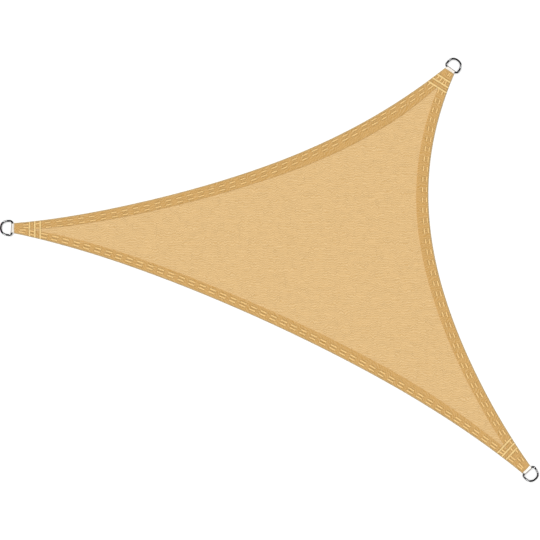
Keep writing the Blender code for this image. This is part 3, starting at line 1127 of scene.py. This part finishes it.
def dash_paths(edge):
    """Plan points of every dash on a side, cut back from the lines across the tips."""
    lines = [(middle, outward) for corner in CORNERS
             if corner.name in (edge.side.start, edge.side.end)
             for middle, outward, _ in line_frames(corner)]
    for row, places in edge.rows.items():
        for start, end in edge.dashes[row]:
            arc = stations(end - start, DASH_STEP) + start
            point, normal = edge.at(arc)
            line = point + normal * edge.read(places, arc)[:, None]
            free = np.full(len(line), True)
            for middle, outward in lines:
                close = np.linalg.norm(line - middle, axis=1) < TIP_REACH
                free &= ~((np.abs((line - middle) @ outward) < LINE_CLEAR) & close)
            for run in np.split(np.arange(len(line)), np.flatnonzero(np.diff(free)) + 1):
                if free[run[0]] and len(run) > 3:
                    yield line[run]


def line_paths(corner):
    """Plan points of the sewn lines across a tip, from fold to fold."""
    ends = inset(rim_loop(), LINE_INSET)
    reach = np.arange(-CROSS_REACH, CROSS_REACH, CROSS_STEP)[:, None]
    for middle, _, left in line_frames(corner):
        line = middle + left * reach
        yield line[inside(ends, line)]


def both_faces(lines, settings):
    """Each line on the upper and on the lower face of the cloth."""
    for line in lines:
        shape = relief(line)
        yield line, shape["top"], 1.0
        yield line, np.maximum(shape["bottom"], settings.thickness * THREAD_CLEAR), -1.0


# --- webbing ------------------------------------------------------------------

TAPE_EMBED = 0.0040      # how far the webbing is followed into the cloth
TAPE_LIFT = TAPE_T * 1.6  # height at which its upper end goes in
SELVEDGE = 0.0009        # rounding of the webbing's edges
SELVEDGE_PARTS = np.array([0.35, 0.75])  # where points lie in that rounding
SELVEDGE_THIN = 0.18     # share of the thickness that is left at the very edge
GREY_FROM, GREY_TO = -0.15, 1.15   # where the fold is painted grey, turned round the bar from its top, in radians
GREY_SOFT_FROM, GREY_SOFT_TO = 0.25, 0.35  # over which that grey, partly grime and partly painted shade, comes and goes
BEND_POINTS = 33
STRAIGHT_POINTS = 6


def bar_height():
    """Height of the middle of the ring's bar."""
    return TAPE_T + TAPE_GAP + WIRE_R


def ring_matrix(corner):
    """From a frame on the bar (+Y outwards, +X along it) to the sail."""
    outward = direction(corner.heading)
    shift = outward * corner.ring_out + left_of(outward) * corner.ring_off
    place = Matrix.Translation((corner.x + shift[0], corner.y + shift[1], bar_height()))
    turn = math.radians(corner.heading + corner.ring_turn - 90.0)
    return place @ Matrix.Rotation(turn, 4, "Z")


def loop_path(foot):
    """Middle line of the webbing round the bar, seen along it: (outwards, height)."""
    radius = WIRE_R + TAPE_GAP + TAPE_T / 2
    upper = np.array([foot, TAPE_LIFT - bar_height()])
    reach = np.linalg.norm(upper)
    lean = math.atan2(upper[1], upper[0]) % FULL_TURN
    angles = np.linspace(lean - math.acos(radius / reach), -math.pi / 2, BEND_POINTS)
    bend = np.stack([radius * np.cos(angles), radius * np.sin(angles)], axis=1)
    steps = np.linspace(0, 1, STRAIGHT_POINTS + 1)
    first = upper + (bend[0] - upper) * steps[:-1, None]
    last = bend[-1] + (np.array([foot, -radius]) - bend[-1]) * steps[1:, None]
    off_bar = np.full(STRAIGHT_POINTS, FULL_TURN)
    turned = np.concatenate([-off_bar, math.pi / 2 - angles, off_bar])
    return np.concatenate([first, bend, last]), turned


def make_webbing(corner):
    """A loop of webbing round the ring's bar, running on into the cloth."""
    skew = math.radians(corner.ring_turn)
    half = TAPE_HALF
    inner = np.linspace(-half + SELVEDGE, half - SELVEDGE, 25)
    rim = SELVEDGE * SELVEDGE_PARTS
    across = np.concatenate([[-half], -half + rim, inner, half - rim[::-1], [half]])
    thin = np.clip(round_off((half - np.abs(across)) / SELVEDGE), SELVEDGE_THIN, 1.0)

    bm = bmesh.new()
    weave = bm.loops.layers.uv.new("weave")
    rubbed = bm.verts.layers.float.new("rubbed")
    strips = []    # for each place across: the upper and lower row of (vertex, uv)
    for x, t in zip(across, thin):
        foot = (-TAPE_EMBED - corner.ring_out - x * math.sin(skew)) / math.cos(skew)
        path, turned = loop_path(foot)
        normal = -right_of(unit(np.gradient(path, axis=0)))
        # Grey round the bar on the outer face: partly grime, partly painted shade.
        fold_grey_mask = (ease((turned - GREY_FROM) / GREY_SOFT_FROM)
                * (1 - ease((turned - GREY_TO) / GREY_SOFT_TO)))
        rows = []
        for side in (1, -1):
            row = []
            for (y, z), (ny, nz), fold_grey_value, s in zip(path, normal, fold_grey_mask, arc_lengths(path)):
                vert = bm.verts.new((x, y + ny * side * t * TAPE_T / 2,
                                     z + nz * side * t * TAPE_T / 2))
                vert[rubbed] = fold_grey_value if side == 1 else 0.0
                row.append((vert, (x, s)))
            rows.append(row)
        strips.append(rows)

    def face(*corners):
        made = bm.faces.new([vert for vert, _ in corners])
        made.smooth = True
        for loop, (_, uv) in zip(made.loops, corners):
            loop[weave].uv = uv

    for before, after in zip(strips, strips[1:]):
        for a, b in zip(before, after):
            for i in range(len(a) - 1):
                face(a[i], b[i], b[i + 1], a[i + 1])
        for i in (0, -1):
            face(before[0][i], after[0][i], after[1][i], before[1][i])
    for upper, lower in (strips[0], strips[-1]):
        for i in range(len(upper) - 1):
            face(upper[i], upper[i + 1], lower[i + 1], lower[i])
    mesh = finish_mesh(bm, "webbing_fine_" + corner.name)
    mesh.transform(ring_matrix(corner))
    return mesh


# --- rings --------------------------------------------------------------------

KNEE_IN, KNEE_UP = 0.0073, 0.0043        # handles of the bends at the bar's ends
BOW_UP = 0.71 * (RING_DEPTH - RING_WAIST)  # and those of the bow
BOW_IN = 0.65 * RING_HALF


def make_ring(corner):
    """A round steel wire bent to a D, sloping from its loop down to the floor."""
    curve = bpy.data.curves.new("ring_path", "CURVE")
    curve.dimensions = "3D"
    curve.resolution_u = 26
    curve.bevel_depth = WIRE_R
    curve.bevel_resolution = 10
    knots = (
        ((BAR_HALF, 0), (0, 0), (BAR_HALF + KNEE_IN, 0)),
        ((RING_HALF, RING_WAIST), (RING_HALF, RING_WAIST - KNEE_UP),
         (RING_HALF, RING_WAIST + BOW_UP)),
        ((0, RING_DEPTH), (BOW_IN, RING_DEPTH), (-BOW_IN, RING_DEPTH)),
        ((-RING_HALF, RING_WAIST), (-RING_HALF, RING_WAIST + BOW_UP),
         (-RING_HALF, RING_WAIST - KNEE_UP)),
        ((-BAR_HALF, 0), (-BAR_HALF - KNEE_IN, 0), (0, 0)),
    )
    spline = curve.splines.new("BEZIER")
    spline.bezier_points.add(len(knots) - 1)
    spline.use_cyclic_u = True
    for point, (place, before, after) in zip(spline.bezier_points, knots):
        point.handle_left_type = point.handle_right_type = "FREE"
        point.co = (*place, 0)
        point.handle_left = (*before, 0)
        point.handle_right = (*after, 0)
    mesh = take_mesh(add_object("ring_path", curve))
    tilt = math.asin((TAPE_T + TAPE_GAP) / RING_DEPTH)
    mesh.transform(ring_matrix(corner) @ Matrix.Rotation(-tilt, 4, "X"))
    mesh.shade_smooth()
    return mesh


# --- operators ----------------------------------------------------------------

class SailStep:
    """What the operators share: each runs its build with the sail's settings."""

    def execute(self, context):
        self.build(context.scene.shade_sail)
        return {"FINISHED"}


class SAIL_OT_stage(SailStep, bpy.types.Operator):
    """Set up the floor, the light and the camera"""
    bl_idname = "sail.stage"
    bl_label = "Stage"

    def build(self, settings):
        make_floor(settings.stage)
        make_light(settings.stage)
        make_camera(settings.stage)


class SAIL_OT_cloth(SailStep, bpy.types.Operator):
    """Make the knitted panel with its folded hem"""
    bl_idname = "sail.cloth"
    bl_label = "Cloth"

    def build(self, settings):
        place_mesh("sail_cloth_fine", make_cloth_mesh(), cloth_material(settings.cloth),
                   "shade_cloth", "sail_cloth")


class SAIL_OT_hem_sewing(SailStep, bpy.types.Operator):
    """Sew both dashed rows along every hem"""
    bl_idname = "sail.hem_sewing"
    bl_label = "Hem Sewing"

    def build(self, settings):
        thread = settings.thread
        for edge in EDGES:
            sew("hem_sewing_" + edge.side.name, both_faces(dash_paths(edge), thread),
                thread.dash_width * sewing_of(edge).width,
                thread_material("row_thread", thread.thread), thread)


class SAIL_OT_tip_sewing(SailStep, bpy.types.Operator):
    """Sew the lines across every tip"""
    bl_idname = "sail.tip_sewing"
    bl_label = "Tip Sewing"

    def build(self, settings):
        thread = settings.thread
        for corner in CORNERS:
            sew("tip_sewing_" + corner.name, both_faces(line_paths(corner), thread),
                thread.line_width, thread_material("tip_thread", thread.line_thread), thread)


class SAIL_OT_webbing(SailStep, bpy.types.Operator):
    """Make the loops of webbing at the tips"""
    bl_idname = "sail.webbing"
    bl_label = "Webbing"

    def build(self, settings):
        material = webbing_material(settings.webbing)
        for corner in CORNERS:
            place_mesh("webbing_fine_" + corner.name, make_webbing(corner), material,
                       "webbing", "webbing_" + corner.name)


class SAIL_OT_rings(SailStep, bpy.types.Operator):
    """Make the steel D-rings"""
    bl_idname = "sail.rings"
    bl_label = "Rings"

    def build(self, settings):
        material = steel_material(settings.ring)
        for corner in CORNERS:
            place_mesh("d_ring_fine_" + corner.name, make_ring(corner), material,
                       "ring_steel", "d_ring_" + corner.name)


class SAIL_PT_panel(bpy.types.Panel):
    """Sizes and colours of the shade sail"""
    bl_idname = "SAIL_PT_panel"
    bl_label = "Shade Sail"
    bl_space_type = "VIEW_3D"
    bl_region_type = "UI"
    bl_category = "Shade Sail"

    def draw(self, context):
        settings = context.scene.shade_sail
        for title, group, operators in (
                ("Cloth", settings.cloth, ("sail.cloth",)),
                ("Sewing", settings.thread, ("sail.hem_sewing", "sail.tip_sewing")),
                ("Webbing", settings.webbing, ("sail.webbing",)),
                ("Rings", settings.ring, ("sail.rings",)),
                ("Stage", settings.stage, ("sail.stage",))):
            box = self.layout.box()
            box.label(text=title)
            for name in group.__annotations__:
                box.prop(group, name)
            for operator in operators:
                box.operator(operator)


# --- stage --------------------------------------------------------------------

FLOOR_HALF = 60.0
FLOOR_DROP = 0.0003      # how far the floor lies under the sail
LAMP_WAY = Vector((1.0, -1.0, -1.9))
GLINT_TURN = 47.0        # degrees from a ring's own way out to its shoulders
GLINT_OUT = 0.24         # how far from a ring its small lamps stand
GLINT_UP = 0.30          # and how far above it
GLINT_SIZE = 0.10
GLINT_POWER = 0.22


def make_floor(settings):
    mesh = bpy.data.meshes.new("floor")
    mesh.from_pydata(
        [(x * FLOOR_HALF, y * FLOOR_HALF, -FLOOR_DROP)
         for x, y in ((-1, -1), (1, -1), (1, 1), (-1, 1))],
        [], [(0, 1, 2, 3)])
    mesh.materials.append(floor_material(settings))
    add_object("floor", mesh)


def add_lamp(name, kind, energy, place, way):
    """A lamp that shines along a way."""
    lamp = bpy.data.lights.new(name, kind)
    lamp.energy = energy
    obj = add_object(name, lamp)
    obj.location = place
    obj.rotation_euler = way.to_track_quat("-Z", "Y").to_euler()
    return obj


def make_light(settings):
    """Even light from all round with a soft lamp from the upper left."""
    world = bpy.data.worlds.new("studio")
    bpy.context.scene.world = world
    world.use_nodes = True
    w = Wiring(world.node_tree)
    mirrored = w.get("ShaderNodeLightPath", output="Is Glossy Ray")
    w.fill(world.node_tree.nodes["Background"], {
        "Color": w.mix(mirrored, (1.0, 1.0, 1.0, 1.0), (0.02, 0.02, 0.022, 1.0)),
        "Strength": settings.sky})

    lamp = add_lamp("lamp", "SUN", settings.lamp, (0.0, 0.0, 0.0), LAMP_WAY)
    lamp.data.angle = math.radians(40.0)
    lamp.visible_glossy = False
    for corner in CORNERS:
        for side in (-1, 1):
            make_glint_lamp(corner, side)
    bpy.context.scene.view_settings.view_transform = "Standard"


def make_glint_lamp(corner, side):
    """A small lamp that only shows as a glint on a shoulder of one ring."""
    ring = ring_matrix(corner) @ Vector((0.0, RING_DEPTH / 2, 0.0))
    away = direction(corner.heading + corner.ring_turn + side * GLINT_TURN)
    place = ring + Vector((*(away * GLINT_OUT), GLINT_UP))
    lamp = add_lamp("glint_" + corner.name, "AREA", GLINT_POWER, place, ring - place)
    lamp.data.shape = "DISK"
    lamp.data.size = GLINT_SIZE
    lamp.visible_diffuse = False
    lamp.visible_camera = False


def make_camera(settings):
    camera = bpy.data.cameras.new("camera")
    camera.lens = settings.lens
    camera.clip_end = 200.0
    height = settings.view_width * settings.lens / camera.sensor_width
    camera_object = add_object("camera", camera)
    camera_object.location = (settings.view_x, settings.view_y, height)
    bpy.context.scene.camera = camera_object


# --- add-on -------------------------------------------------------------------

CLASSES = (
    ClothSettings, ThreadSettings, WebbingSettings, RingSettings, StageSettings,
    SailSettings, SAIL_OT_stage, SAIL_OT_cloth, SAIL_OT_hem_sewing, SAIL_OT_tip_sewing,
    SAIL_OT_webbing, SAIL_OT_rings, SAIL_PT_panel,
)


def register():
    for cls in CLASSES:
        bpy.utils.register_class(cls)
    bpy.types.Scene.shade_sail = PointerProperty(type=SailSettings)


def unregister():
    del bpy.types.Scene.shade_sail
    for cls in reversed(CLASSES):
        bpy.utils.unregister_class(cls)


def main():
    register()
    bpy.ops.sail.stage()
    bpy.ops.sail.cloth()
    bpy.ops.sail.hem_sewing()
    bpy.ops.sail.tip_sewing()
    bpy.ops.sail.webbing()
    bpy.ops.sail.rings()
    objects = bpy.data.objects
    # Cut size: the outline with hems of 48 mm on average and 12 mm turned in; 1.16
    # square metres in plan, and 0.37 in the folded layers.
    [o for o in objects if o.name.startswith(("hem_sewing", "tip_sewing"))]


if __name__ == "__main__":
    main()
